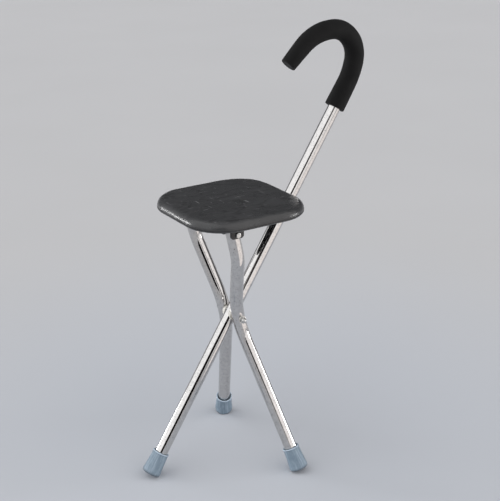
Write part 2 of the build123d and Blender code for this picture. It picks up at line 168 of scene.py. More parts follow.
# Each light: the way to it, its half angle and its blur in degrees, its strength, and its colour.
LIGHTS = {
    "left wall": ((-0.87, 0.1, 0.48), 50, 4, 1.1, WHITE),
    "right panel": ((0.35, -0.85, 0.38), 46, 5, 0.95, WARM),
    "ceiling": ((0.0, 0.0, 1.0), 34, 12, 0.25, WHITE),
    "lamp behind": ((-0.60, 0.80, 0.03), 6, 2, 26.0, WHITE),
    "lamp on the right": ((0.88, -0.47, 0.04), 6, 2, 20.0, WHITE),
}
light = scaled(ROOM, toward(DIM_BACK, DIM_HALF, DIM_BLUR, 1.0, DIM_SHARE))
for light_way, half_angle, blur, strength, colour in LIGHTS.values():
    light = together(light, scaled(colour, toward(light_way, half_angle, blur, 0.0, strength)))
PATCH_MIDDLE, PATCH_HALF, PATCH_TOP = 34.5, 18.5, 25
SIDE_BLUR, TOP_BLUR, PATCH_GLOW = 2, 1, 0.03
parts = node(sky, "ShaderNodeSeparateXYZ", {0: way}).outputs
flat_way = node(sky, "ShaderNodeCombineXYZ", {"X": parts["X"], "Y": parts["Y"]}).outputs[0]
flat_way = node(sky, "ShaderNodeVectorMath", {0: flat_way}, operation="NORMALIZE").outputs["Vector"]
patch_way = Vector((-sin(radians(PATCH_MIDDLE)), -cos(radians(PATCH_MIDDLE)), 0))
sideways = node(sky, "ShaderNodeVectorMath", {0: flat_way, 1: patch_way}, operation="DOT_PRODUCT")
beside = node(sky, "ShaderNodeMapRange", {
    "Value": sideways.outputs["Value"], "From Min": cos(radians(PATCH_HALF + SIDE_BLUR)),
    "From Max": cos(radians(PATCH_HALF - SIDE_BLUR)), "To Min": 1.0, "To Max": 0.0,
}).outputs["Result"]
over = node(sky, "ShaderNodeMapRange", {
    "Value": parts["Z"], "From Min": sin(radians(PATCH_TOP - TOP_BLUR)),
    "From Max": sin(radians(PATCH_TOP + TOP_BLUR)),
}).outputs["Result"]
clear = node(sky, "ShaderNodeMath", {0: beside, 1: over}, operation="MAXIMUM").outputs[0]
shaded = node(sky, "ShaderNodeMath", {0: clear, 1: PATCH_GLOW}, operation="MAXIMUM").outputs[0]
light = scaled(light, shaded)
lit_room = node(sky, "ShaderNodeBackground", {"Color": light, "Strength": 1.0})
BACKDROP = (0.545, 0.55, 0.565, 1)
seen_room = node(sky, "ShaderNodeBackground", {"Color": BACKDROP, "Strength": 1.0})
seen = node(sky, "ShaderNodeLightPath").outputs["Is Camera Ray"]
room = node(sky, "ShaderNodeMixShader", {0: seen, 1: lit_room.outputs[0], 2: seen_room.outputs[0]})
node(sky, "ShaderNodeOutputWorld", {"Surface": room.outputs[0]})
scene.view_settings.view_transform = "Standard"
print("studio:", len(sky.nodes), "nodes")

# %% [markdown]
# ## The floor
# A pale seamless floor, so wide that its edge is far out of the camera's view. A plane would do; a disc
# has no corners to catch in a low view. Its finish is dull painted board: almost one colour, faintly
# mottled, and a little bluer near the object. It mirrors nothing, so the card laid on it can't light it.


# %% Finish helper and the floor
def finish(name):
    """A new material: its tree, its shader, and where the pattern is measured from."""
    material = bpy.data.materials.new(name)
    material.use_nodes = True
    tree = material.node_tree
    shader = tree.nodes["Principled BSDF"]
    place = node(tree, "ShaderNodeTexCoord").outputs["Object"]
    return material, tree, shader, place


def grain(tree, place, size, detail=3.0, stretch=(1, 1, 1), roughness=0.5):
    """Noise whose blotches are about size across, in metres, longer where stretch is above 1."""
    scale = [1 / s for s in stretch]
    spot = node(tree, "ShaderNodeMapping", {"Vector": place, "Scale": scale}).outputs[0]
    return node(tree, "ShaderNodeTexNoise", {
        "Vector": spot, "Scale": 1 / size, "Detail": detail, "Roughness": roughness,
    }).outputs["Fac"]


def spread(tree, value, low, high, start=0.3, end=0.7):
    """Noise brought between two values."""
    return node(tree, "ShaderNodeMapRange", {
        "Value": value, "From Min": start, "From Max": end, "To Min": low, "To Max": high,
    }).outputs["Result"]


def tint(tree, value, dark, light):
    """A colour between dark and light, as the value goes from 0 to 1."""
    return node(tree, "ShaderNodeMix", {"Factor": value, 6: (*dark, 1), 7: (*light, 1)},
                data_type="RGBA").outputs[2]


def raised(tree, value, depth, under=None):
    """A bump of the given depth in metres, on top of another one."""
    inputs = {"Height": value, "Distance": depth, "Strength": 1.0}
    if under is not None:
        inputs["Normal"] = under
    return node(tree, "ShaderNodeBump", inputs).outputs["Normal"]


FLOOR_RADIUS, BLUE_REACH, BACKDROP_REACH = 14, 0.25, 1.2
floor_board, tree, shader, place = finish("floor_board")
mottle = spread(tree, grain(tree, place, 0.6), 0, 1)
board = tint(tree, mottle, (0.602, 0.606, 0.617), (0.614, 0.618, 0.630))
reach = node(tree, "ShaderNodeVectorMath", {0: place}, operation="LENGTH").outputs["Value"]
backdrop = node(tree, "ShaderNodeMapRange", {
    "Value": reach, "From Min": BLUE_REACH, "From Max": BACKDROP_REACH,
}, interpolation_type="SMOOTHSTEP").outputs["Result"]
tree.links.new(node(tree, "ShaderNodeMix", {"Factor": backdrop, 6: (0.582, 0.609, 0.655, 1), 7: board},
                    data_type="RGBA").outputs[2], shader.inputs["Base Color"])
shader.inputs["Specular IOR Level"].default_value = 0.0

bm = bmesh.new()
bmesh.ops.create_circle(bm, cap_ends=True, segments=96, radius=FLOOR_RADIUS)
floor_mesh = bpy.data.meshes.new("floor")
bm.to_mesh(floor_mesh)
bm.free()
floor = bpy.data.objects.new("floor", floor_mesh)
scene.collection.objects.link(floor)
floor_mesh.materials.append(floor_board)

# %% [markdown]
# ## A card for the metal
# Photographers lay a white card beside polished metal, so that the side that would mirror a dull floor
# turns bright too. This one lies on the floor in front of the object, to the right of the camera. Only
# mirror-like rays see it: it shows in the metal, but is hidden from the camera and throws no light on the
# floor.

# %% Bounce card
card_white = bpy.data.materials.new("card_white")
card_white.use_nodes = True
card_tree = card_white.node_tree
card_tree.nodes.clear()
card_glow = node(card_tree, "ShaderNodeEmission", {"Color": (1.0, 0.945, 0.92, 1), "Strength": 1.15})
node(card_tree, "ShaderNodeOutputMaterial", {"Surface": card_glow.outputs[0]})
CARD_LOW, CARD_HIGH = Vector((0.02, -4.5, 0.001)), Vector((1.9, -0.32, 0.001))
bm = bmesh.new()
card_size = (CARD_HIGH - CARD_LOW) / 2
card_place = Matrix.Translation((CARD_LOW + CARD_HIGH) / 2)
card_place = card_place @ Matrix.Diagonal((card_size.x, card_size.y, 1, 1))
bmesh.ops.create_grid(bm, x_segments=1, y_segments=1, size=1, matrix=card_place)
card_mesh = bpy.data.meshes.new("bounce_card")
bm.to_mesh(card_mesh)
bm.free()
card_mesh.materials.append(card_white)
card = bpy.data.objects.new("bounce_card", card_mesh)
scene.collection.objects.link(card)
card.visible_camera = card.visible_diffuse = card.visible_shadow = False

# %% [markdown]
# ## Bright tube
# The tubes are steel with a bright polished coat: almost a mirror, with hair-fine polishing lines, a few
# dull pits and a slight change of gloss along the length. One roughness for the whole tube would look
# like a computer's chrome, so noise moves the roughness and lays a very shallow relief.

# %% Finish of the tubes
bright_tube, tree, shader, place = finish("bright_tube")
shader.inputs["Metallic"].default_value = 1.0
cloudy = grain(tree, place, 0.035, 4)
pits = spread(tree, grain(tree, place, 0.0018, 1), 0, 1, 0.63, 0.70)
stains = spread(tree, grain(tree, place, 0.006, 6, roughness=0.7), 0, 1, 0.40, 0.64)
metal = tint(tree, stains, (0.66, 0.645, 0.635), (0.555, 0.545, 0.537))
tree.links.new(node(tree, "ShaderNodeMix", {"Factor": pits, 6: metal, 7: (0.30, 0.29, 0.285, 1)},
                    data_type="RGBA").outputs[2], shader.inputs["Base Color"])
gloss = node(tree, "ShaderNodeMath", {0: pits, 1: 0.22, 2: spread(tree, cloudy, 0.035, 0.08)},
             operation="MULTIPLY_ADD").outputs[0]
tree.links.new(gloss, shader.inputs["Roughness"])
dents = raised(tree, cloudy, 0.00006)
polish = grain(tree, place, 0.0005, 2, (1, 1, 9))
tree.links.new(raised(tree, polish, 0.000004, dents), shader.inputs["Normal"])
print("bright_tube:", len(tree.nodes), "nodes")

# %% [markdown]
# ## Plastics, nylon and zinc
# The small parts are a glossy black for the hinge brackets and latch, a satin black for the plugs,
# natural nylon for the spacers, and bright zinc for the bolts. One function makes them, with its own
# colour, gloss and grain, since they differ only in numbers: every one gets a slight change of colour, an
# uneven gloss and a fine skin, because moulded and plated parts are never quite even.


# %% Finishes of the small parts
def plain_finish(name, dark, light, gloss, grain_size, depth, metallic=0.0, shine=0.5):
    material, tree, shader, place = finish(name)
    shader.inputs["Metallic"].default_value = metallic
    shader.inputs["Specular IOR Level"].default_value = shine
    patches = spread(tree, grain(tree, place, 0.012, 3), 0, 1)
    tree.links.new(tint(tree, patches, dark, light), shader.inputs["Base Color"])
    skin = grain(tree, place, grain_size, 4)
    tree.links.new(spread(tree, skin, *gloss), shader.inputs["Roughness"])
    tree.links.new(raised(tree, skin, depth), shader.inputs["Normal"])
    return material


finishes = {
    "polished_tube": bright_tube,
    "bracket_plastic": plain_finish(
        "glossy_black", (0.008, 0.008, 0.009), (0.014, 0.014, 0.016), (0.18, 0.34), 0.0012, 0.00003),
    "plug_plastic": plain_finish(
        "satin_black", (0.008, 0.008, 0.009), (0.014, 0.014, 0.015), (0.45, 0.62), 0.0008, 0.00003,
        shine=0.15),
    "nylon": plain_finish(
        "natural_nylon", (0.66, 0.64, 0.58), (0.74, 0.72, 0.67), (0.42, 0.58), 0.0010, 0.00002),
    "bright_steel": plain_finish(
        "bright_zinc", (0.46, 0.46, 0.45), (0.62, 0.62, 0.61), (0.14, 0.32), 0.0020, 0.00002, 1.0),
}
print("small finishes:", sorted(finishes))

# %% [markdown]
# ## The foam of the handle
# The sleeve is closed-cell rubber foam: very dark, dull, with pores too small to see apart that still
# scatter the light, and a trace of sheen where the surface turns away. Pores are a job for bump, since no
# one could see them in the outline, while the sleeve's slight unevenness is put in the mesh further down.

# %% Foam finish
handle_foam_finish, tree, shader, place = finish("handle_foam")
pores = grain(tree, place, 0.0007, 5, roughness=0.65)
cloudy = grain(tree, place, 0.02, 3)
tree.links.new(tint(tree, spread(tree, cloudy, 0, 1), (0.0042, 0.0042, 0.0044), (0.0068, 0.0068, 0.0070)),
               shader.inputs["Base Color"])
tree.links.new(spread(tree, pores, 0.62, 0.88), shader.inputs["Roughness"])
shader.inputs["Specular IOR Level"].default_value = 0.16
shader.inputs["Sheen Weight"].default_value = 0.02
shader.inputs["Sheen Roughness"].default_value = 0.5
tree.links.new(raised(tree, pores, 0.00022), shader.inputs["Normal"])
finishes["grip_foam"] = handle_foam_finish

# %% [markdown]
# ## The skin of the seat
# The seat is moulded with a fine leather grain and, on its top, with the thin wandering folds of a real
# hide. Use has left it a little scuffed: soft pale clouds, and a few thin scratches. Leather grain is
# cells with rounded tops, which a Voronoi pattern gives. The folds are the places where a soft noise
# passes through its middle value, which are long curves. Along each fold the colour is darkened, as
# painted shade in the crease. The scratches are noise stretched long in two directions, cut so that only
# its rare peaks are left.

# %% Seat finish
seat_finish, tree, shader, place = finish("seat_skin")
CELLS_PER_METRE = 700.0
cells = node(tree, "ShaderNodeTexVoronoi", {"Vector": place, "Scale": CELLS_PER_METRE, "Randomness": 1.0},
             feature="SMOOTH_F1").outputs["Distance"]
clouds = grain(tree, place, 0.045, 5, (1.6, 1, 1), 0.6)
scuffs = spread(tree, grain(tree, place, 0.0030, 2, (14, 1, 1)), 0, 1, 0.70, 0.75)
knocks = spread(tree, grain(tree, place, 0.0026, 1, (1, 9, 1)), 0, 1, 0.72, 0.77)
level = node(tree, "ShaderNodeSeparateXYZ", {0: place}).outputs["Z"]
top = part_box("seat_board")[1].z
on_top = node(tree, "ShaderNodeMapRange", {
    "Value": level, "From Min": top - 3 * MM, "From Max": top - 0.5 * MM,
}).outputs["Result"]
marks = node(tree, "ShaderNodeMath", {0: scuffs, 1: knocks}, operation="MAXIMUM").outputs[0]
marks = node(tree, "ShaderNodeMath", {0: marks, 1: on_top}, operation="MULTIPLY").outputs[0]
hills = grain(tree, place, 0.026, 3, (2.2, 1, 1), 0.45)
# The fold mask both lifts the bump and darkens the colour along the folds as painted shade.
folds_with_painted_shade = node(tree, "ShaderNodeMath", {0: hills, 1: 0.5}, operation="SUBTRACT").outputs[0]
folds_with_painted_shade = node(tree, "ShaderNodeMath", {0: folds_with_painted_shade}, operation="ABSOLUTE").outputs[0]
folds_with_painted_shade = spread(tree, folds_with_painted_shade, 0, 1, 0.0, 0.035)
below = node(tree, "ShaderNodeMath", {0: 1.0, 1: on_top}, operation="SUBTRACT").outputs[0]
folds_with_painted_shade = node(tree, "ShaderNodeMath", {0: folds_with_painted_shade, 1: below}, operation="MAXIMUM").outputs[0]
rubbed = tint(tree, spread(tree, clouds, 0, 1), (0.031, 0.0315, 0.033), (0.048, 0.0485, 0.050))
# Painted shade: the fold lines take this darker colour, standing in for shade in the creases.
base = node(tree, "ShaderNodeMix", {"Factor": folds_with_painted_shade, 6: (0.023, 0.023, 0.024, 1), 7: rubbed},
            data_type="RGBA").outputs[2]
tree.links.new(node(tree, "ShaderNodeMix", {"Factor": marks, 6: base, 7: (0.14, 0.14, 0.145, 1)},
                    data_type="RGBA").outputs[2], shader.inputs["Base Color"])
tree.links.new(spread(tree, clouds, 0.22, 0.34), shader.inputs["Roughness"])
shader.inputs["Specular IOR Level"].default_value = 0.5
skin = raised(tree, cells, 0.00020)
skin = raised(tree, grain(tree, place, 0.0035, 4), 0.00016, skin)
tree.links.new(raised(tree, folds_with_painted_shade, 0.00018, skin), shader.inputs["Normal"])
finishes["seat_plastic"] = seat_finish

# %% [markdown]
# ## The rubber of the feet
# Blue-grey rubber, moulded round a core pin and pulled off it, so its skin has faint streaks from lip to
# base. The streaks follow each foot and not the room, so they are read from an attribute that keeps where
# each point was while the foot still stood upright, and one finish does for all three feet. The lower
# edge is painted darker, as painted shade where the foot meets the floor, and the bead round the mouth is
# rubbed pale.

# %% Rubber finish
foot_finish, tree, shader, place = finish("foot_rubber")
upright = node(tree, "ShaderNodeAttribute", attribute_name="upright").outputs["Vector"]
streaks = grain(tree, upright, 0.0026, 3, (1, 1, 16), 0.6)
bloom = grain(tree, upright, 0.008, 4)
low_down = node(tree, "ShaderNodeSeparateXYZ", {0: upright}).outputs["Z"]
# Painted shade: the colour darkens towards the floor, over the lowest few millimetres of each foot.
painted_base_shade = node(tree, "ShaderNodeMapRange", {
    "Value": low_down, "From Min": 0.0005, "From Max": 0.0055, "To Min": 0.75, "To Max": 0.0,
}).outputs["Result"]
rubber = tint(tree, spread(tree, bloom, 0, 1), (0.170, 0.232, 0.292), (0.222, 0.292, 0.358))
rubber = node(tree, "ShaderNodeMix", {
    "Factor": spread(tree, streaks, 0, 0.85, 0.46, 0.66), 6: rubber, 7: (0.33, 0.41, 0.49, 1),
}, data_type="RGBA").outputs[2]
worn = node(tree, "ShaderNodeMapRange", {
    "Value": low_down, "From Min": 0.0385, "From Max": 0.0402, "To Min": 0.0, "To Max": 0.8,
}).outputs["Result"]
rubber = node(tree, "ShaderNodeMix", {"Factor": worn, 6: rubber, 7: (0.50, 0.60, 0.70, 1)},
              data_type="RGBA").outputs[2]
# The dark colour mixed in here is painted shade at the base of the foot.
tree.links.new(node(tree, "ShaderNodeMix", {"Factor": painted_base_shade, 6: rubber, 7: (0.075, 0.085, 0.10, 1)},
                    data_type="RGBA").outputs[2], shader.inputs["Base Color"])
tree.links.new(spread(tree, bloom, 0.48, 0.66), shader.inputs["Roughness"])
tree.links.new(raised(tree, streaks, 0.00012), shader.inputs["Normal"])
finishes["foot_rubber"] = foot_finish

# %% [markdown]
# ## Finish the sound pieces
# Tubes, plugs, spacers, the latch and the small hardware are already the right shape, so they only take a
# finish. The model names a slot for each, and the slot picks the material.

# %% Dress the model's own pieces
for name, piece in frame["nodes"].items():
    for material_slot in piece.material_slots:
        material_slot.material = finishes[material_slot.material.name]
print(len(frame["nodes"]), "pieces finished")

# %% [markdown]
# ## From a mesh to a piece
# Each new piece ends the same way: stray doubles are merged, its faces are turned outwards, it is shaded
# smooth but for its real corners, and it is told which body carries it and which plain pieces it stands
# for. Pieces made of several shapes add them up first, and a sharp edge is rounded off as tumbling or
# moulding does it.


# %% Piece helpers
def sharp_edges(bm, angle):
    """The edges where the surface turns by more than that many degrees."""
    joined = [edge for edge in bm.edges if len(edge.link_faces) == 2]
    return [edge for edge in joined if edge.calc_face_angle() > radians(angle)]


def round_off(bm, edges, offset, segments):
    bmesh.ops.bevel(bm, geom=list(edges), offset=offset, segments=segments, profile=0.5, affect="EDGES",
                    material=-1, clamp_overlap=True)


def add_to(bm, other):
    """Adds another shape to bm, and clears the other away."""
    made = bpy.data.meshes.new("part")
    other.to_mesh(made)
    other.free()
    bm.from_mesh(made)
    bpy.data.meshes.remove(made)


def piece_from(bm, name, slot, body, *stands_for, corner=32):
    bmesh.ops.remove_doubles(bm, verts=bm.verts, dist=0.000002)
    bmesh.ops.recalc_face_normals(bm, faces=bm.faces)
    mesh = bpy.data.meshes.new(name)
    bm.to_mesh(mesh)
    bm.free()
    mesh.shade_smooth()
    mesh.set_sharp_from_angle(angle=radians(corner))
    mesh.materials.append(finishes[slot])
    piece = bpy.data.objects.new(name, mesh)
    scene.collection.objects.link(piece)
    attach(piece, body)
    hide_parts(*stands_for)
    print(name, len(mesh.polygons), "faces")
    return piece


# %% [markdown]
# ## A pipe that is pushed and bent
# A tube bender feeds straight tube and then turns it round a former, and a mesh can be made the same way.
# A ring of edges is extruded for a straight run and spun about the former's middle for a bend. A curve
# with a bevel would also do, but spin gives true arcs, and two rings at once give the bore too.


# %% Bent pipe helper
def facing(place, way):
    """Turns what was made upright at the origin to stand at a place, along a way."""
    return Matrix.Translation(place) @ Vector(way).to_track_quat("Z", "Y").to_matrix().to_4x4()


def bent_pipe(bm, place, way, inside, radii, moves, step, sides=64):
    """moves are lengths, or (radius, turn) for bends towards inside; a minus turn bends away."""
    place, way, inside = place.copy(), way.normalized(), inside.normalized()
    ends = []
    rings = []
    for radius in radii:
        made = bmesh.ops.create_circle(bm, segments=sides, radius=radius, matrix=facing(place, way))
        rings += list({edge for vert in made["verts"] for edge in vert.link_edges})
    ends.append(rings)
    for move in moves:
        if isinstance(move, tuple):
            radius, turned = move[0], radians(move[1])
            side = inside if turned > 0 else -inside
            centre = place + side * radius
            axis = way.cross(side)
            steps = max(2, round(radius * abs(turned) / step))
            spun = bmesh.ops.spin(bm, geom=rings, cent=centre, axis=axis, angle=abs(turned), steps=steps)
            rings = [item for item in spun["geom_last"] if isinstance(item, bmesh.types.BMEdge)]
            turner = Matrix.Rotation(abs(turned), 3, axis)
            place = centre + turner @ (place - centre)
            way, inside = turner @ way, turner @ inside
        else:
            steps = max(1, round(move / step))
            for _ in range(steps):
                grown = bmesh.ops.extrude_edge_only(bm, edges=rings)["geom"]
                rings = [item for item in grown if isinstance(item, bmesh.types.BMEdge) and item.is_boundary]
                corners = list({vert for edge in rings for vert in edge.verts})
                bmesh.ops.translate(bm, verts=corners, vec=way * (move / steps))
            place = place + way * move
    ends.append(rings)
    for rim in ends:
        bmesh.ops.bridge_loops(bm, edges=rim)
    return place, way


# %% [markdown]
# ## The foam sleeve
# The sleeve is pushed over the crook and takes its bends: a long easy one, the tight top of the crook,
# and an easier one down to the tip. Foam gives as it is pushed on: it swells a little at the near end,
# and thins towards the tip, where it was stretched. So each ring of the pipe is made wider or narrower by
# how far along it is. Both ends are cut square with a rounded edge, and the surface is uneven by about a
# fifth of a millimetre.

# %% Handle foam
TUBE = 22 * MM
GRIP = 34 * MM
GRIP_START, CROOK_START, CROOK_TIP, GRIP_OVERHANG = 391 * MM, 434.5 * MM, 35 * MM, 1 * MM
CROOK_BENDS = ((112.5 * MM, 21.7), (47.3 * MM, 99.7), (88.9 * MM, 45.1))
crook_inside = main_way.cross(ACROSS)
grip_low = pivot + main_way * GRIP_START
moves = [CROOK_START - GRIP_START, *CROOK_BENDS, CROOK_TIP + GRIP_OVERHANG]

FOAM_SIDES, FOAM_STEP, FOAM_ROUND, UNEVEN = 80, 3 * MM, 1.3 * MM, 0.22 * MM
FOAM_SQUEEZE = 0.975
SWELLING, SWELLS_UNTIL, SWELL_CURVE = 0.06, 0.22, 1.5
THINNING, THINS_FROM, THIN_CURVE = 0.19, 0.5, 1.8
bm = bmesh.new()
tip, tip_way = bent_pipe(bm, grip_low, main_way, crook_inside, (GRIP / 2, TUBE / 2), moves, FOAM_STEP,
                         FOAM_SIDES)
bm.verts.ensure_lookup_table()
ring_count = len(bm.verts) // (2 * FOAM_SIDES)
for k in range(ring_count):
    ring = bm.verts[k * 2 * FOAM_SIDES:(k + 1) * 2 * FOAM_SIDES]
    heart = sum((vert.co for vert in ring), Vector()) / len(ring)
    share = k / (ring_count - 1)
    swelling = SWELLING * max(0.0, 1 - share / SWELLS_UNTIL) ** SWELL_CURVE
    thinning = THINNING * max(0.0, (share - THINS_FROM) / (1 - THINS_FROM)) ** THIN_CURVE
    for vert in ring:
        if (vert.co - heart).length > (GRIP + TUBE) / 4:
            vert.co = heart + (vert.co - heart) * (FOAM_SQUEEZE + swelling - thinning)
outer_rims = []
for edge in sharp_edges(bm, 60):
    spot = edge.verts[0].co
    at_an_end = max((grip_low - spot).dot(main_way), (spot - tip).dot(tip_way)) > -MM
    if at_an_end and min((spot - grip_low).length, (spot - tip).length) > TUBE / 2 + MM:
        outer_rims.append(edge)
bmesh.ops.bevel(bm, geom=outer_rims, offset=FOAM_ROUND, segments=4, profile=0.5, affect="EDGES", material=-1)
bm.normal_update()
for vert in bm.verts:
    uneven = noise.fractal(vert.co * 45, 0.8, 2.0, 3)
    vert.co += vert.normal * uneven * UNEVEN
foam = piece_from(bm, "handle_foam", "grip_foam", "cane", "handle_grip")
print("crook tip at", [round(c / MM) for c in tip])

# %% [markdown]
# ## The outline of the seat
# From above the seat is a square with large round corners. A square mesh grid has rings of its own, like
# a target, and each ring can be pulled into that outline, at its own size and height. So a single grid
# becomes the crown, the round rim, the parting line and the lip, all in even quads, and a second one
# becomes the hollow underneath. A cube with bevels would give the rim, but not the crown or the worn top.


# %% Ring helper
def on_outline(i, j, half, corner):
    """Where grid point i, j of a ring lands on a rounded square of that half width."""
    ring = max(abs(i), abs(j))
    if ring == 0:
        return 0.0, 0.0
    quarter = 0 if abs(i) >= abs(j) and i > 0 else 2 if abs(i) >= abs(j) else 1 if j > 0 else 3
    along = (j, -i, -j, i)[quarter] / ring
    straight = half - corner
    reach = along * (straight + corner * pi / 4)
    x, y = half, reach
    if abs(reach) > straight:
        bend = (abs(reach) - straight) / corner
        x = straight + corner * cos(bend)
        y = (straight + corner * sin(bend)) * (1 if reach > 0 else -1)
    return ((x, y), (-y, x), (-x, -y), (y, -x))[quarter]


def ringed_skin(bm, centre, rings):
    """A grid whose rings, from the middle outwards, take the given (half width, corner, height)."""
    count = len(rings) - 1
    made = bmesh.ops.create_grid(bm, x_segments=2 * count, y_segments=2 * count, size=count)
    for vert in made["verts"]:
        i, j = round(vert.co.x), round(vert.co.y)
        half, corner, level = rings[max(abs(i), abs(j))]
        x, y = on_outline(i, j, half, corner)
        vert.co = Vector((centre.x + x, centre.y + y, level))
    return made["verts"]


# %% [markdown]
# ## The seat
# The top is crowned a couple of millimetres so that water runs off and the middle doesn't look dished.
# The rim turns down in a wide round, stops at a shallow parting line left by the two halves of the mould,
# and ends in a small lip. Underneath, the moulding is hollow, with crossed ribs and a boss over every
# screw. The faint waves on top are noise with a seed of its own, so every run moulds the same seat.

# %% Seat sizes
seat_low, seat_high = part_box("seat_board")
seat_middle = (seat_low + seat_high) / 2
SEAT_HALF = (seat_high.x - seat_low.x) / 2
SEAT_CORNER, UPPER_ROUND, LOWER_ROUND = 66 * MM, 13 * MM, 4.5 * MM
POCKET_INSET, SEAT_WALL, CROWN, GROOVE = 9.5 * MM, 4 * MM, 2.4 * MM, 0.75 * MM
seat_bottom, seat_top = seat_low.z, seat_high.z
rim_start = SEAT_HALF - UPPER_ROUND
CROWN_RINGS, ROUND_RINGS, LIP_RINGS = 28, 10, 5
WAVES_ALONG, WAVES_ACROSS, WAVE_HEIGHT, WAVE_SEED = 16, 42, 0.5 * MM, 7

rings = [(rim_start * k / CROWN_RINGS, (SEAT_CORNER - UPPER_ROUND) * k / CROWN_RINGS, seat_top)
         for k in range(CROWN_RINGS + 1)]
for k in range(1, ROUND_RINGS + 1):
    lean = radians(90 * k / ROUND_RINGS)
    half = rim_start + UPPER_ROUND * sin(lean)
    rings.append((half, SEAT_CORNER - SEAT_HALF + half, seat_top - UPPER_ROUND * (1 - cos(lean))))
parting = seat_bottom + LOWER_ROUND
for inset, rise in ((0.0, GROOVE), (GROOVE, GROOVE * 0.4), (GROOVE, -GROOVE * 0.4), (0.0, -GROOVE)):
    rings.append((SEAT_HALF - inset, SEAT_CORNER - inset, parting + rise))
for k in range(1, LIP_RINGS + 1):
    lean = radians(90 * k / LIP_RINGS)
    half = SEAT_HALF - LOWER_ROUND * (1 - cos(lean))
    drop = GROOVE + (LOWER_ROUND - GROOVE) * sin(lean)
    rings.append((half, SEAT_CORNER - SEAT_HALF + half, parting - drop))

# %% Seat shell
noise.seed_set(WAVE_SEED)
bm = bmesh.new()
top_verts = ringed_skin(bm, seat_middle, rings)
for vert in top_verts:
    across = Vector(((vert.co.x - seat_middle.x) / rim_start, (vert.co.y - seat_middle.y) / rim_start))
    fall = max(0.0, 1 - across.x ** 2) * max(0.0, 1 - across.y ** 2)
    if vert.co.z > seat_top - UPPER_ROUND:
        spot = Vector((vert.co.x * WAVES_ALONG, vert.co.y * WAVES_ACROSS, 0.3))
        spot = spot + noise.noise_vector(spot * 0.6) * 0.8
        vert.co.z += CROWN * fall + noise.fractal(spot, 1.0, 2.1, 4) * WAVE_HEIGHT
pocket_half = SEAT_HALF - POCKET_INSET
pocket_corner = SEAT_CORNER - POCKET_INSET
pocket_top = seat_top - SEAT_WALL
last_half, last_corner, last_level = rings[-1]
ROOF_SHARE, WALL_RINGS = 0.985, 6
roof_count = len(rings) - 1 - WALL_RINGS
hollow = [(pocket_half * ROOF_SHARE * k / roof_count, pocket_corner * ROOF_SHARE * k / roof_count, pocket_top)
          for k in range(roof_count + 1)]
hollow += [(pocket_half - 0.4 * MM, pocket_corner - 0.4 * MM, pocket_top - 0.4 * MM),
           (pocket_half, pocket_corner, pocket_top - 1.5 * MM),
           (pocket_half, pocket_corner, (pocket_top + seat_bottom) / 2),
           (pocket_half, pocket_corner, last_level + 0.6 * MM),
           (pocket_half + 0.6 * MM, pocket_corner + 0.6 * MM, last_level),
           (last_half, last_corner, last_level)]
ringed_skin(bm, seat_middle, hollow)


# %% Ribs and bosses under the seat
def loose_middles(name):
    """The middles of the separate bodies in one of the model's pieces, such as each screw of a set."""
    shape = bmesh.new()
    shape.from_mesh(frame["nodes"][name].data)
    bmesh.ops.remove_doubles(shape, verts=shape.verts, dist=0.00001)
    left = set(shape.verts)
    middles = []
    while left:
        queue = [left.pop()]
        group = []
        while queue:
            vert = queue.pop()
            group.append(vert.co.copy())
            for edge in vert.link_edges:
                other = edge.other_vert(vert)
                if other in left:
                    left.remove(other)
                    queue.append(other)
        spans = [[co[axis] for co in group] for axis in range(3)]
        middles.append(Vector([(min(span) + max(span)) / 2 for span in spans]))
    shape.free()
    return sorted(middles, key=tuple)


def block(bm, low, high):
    low, high = Vector(low), Vector(high)
    place = Matrix.Translation((low + high) / 2) @ Matrix.Diagonal((*(high - low), 1))
    return bmesh.ops.create_cube(bm, size=1, matrix=place)["verts"]


RIBS, RIB_THICK, RIB_CLEAR, EMBED = 5, 2.4 * MM, 6 * MM, 0.5 * MM
pitch = 2 * pocket_half / (RIBS + 1)
rib_bottom = seat_bottom + RIB_CLEAR
for k in range(RIBS):
    offset = -pocket_half + pitch * (k + 1)
    past = abs(offset) - (pocket_half - pocket_corner)
    reach = pocket_half + EMBED
    if past > 0:
        reach = pocket_half - pocket_corner + sqrt(pocket_corner ** 2 - past ** 2) + EMBED
    thick = RIB_THICK / 2
    block(bm, (seat_middle.x + offset - thick, -reach, rib_bottom),
          (seat_middle.x + offset + thick, reach, pocket_top + EMBED))
    block(bm, (seat_middle.x - reach, offset - thick, rib_bottom),
          (seat_middle.x + reach, offset + thick, pocket_top + EMBED))
plate_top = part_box("front_bracket")[1].z
BOSS = 4.6 * MM
for screw in loose_middles("bracket_screws") + loose_middles("latch_screws"):
    rise = pocket_top + EMBED - plate_top
    stand = Matrix.Translation((screw.x, screw.y, plate_top + rise / 2))
    bmesh.ops.create_cone(bm, cap_ends=True, segments=32, radius1=BOSS, radius2=BOSS, depth=rise,
                          matrix=stand)
piece_from(bm, "seat_shell", "seat_plastic", "seat", "seat_board", corner=40)

# %% [markdown]
# ## Turned pieces
# Feet, washers and domes are all shapes a lathe would make. Their half outline is laid down as a few
# points and spun once round, upright at the origin, then stood where it belongs. The bevel that follows
# breaks the sharp edges, as tumbling or moulding does.


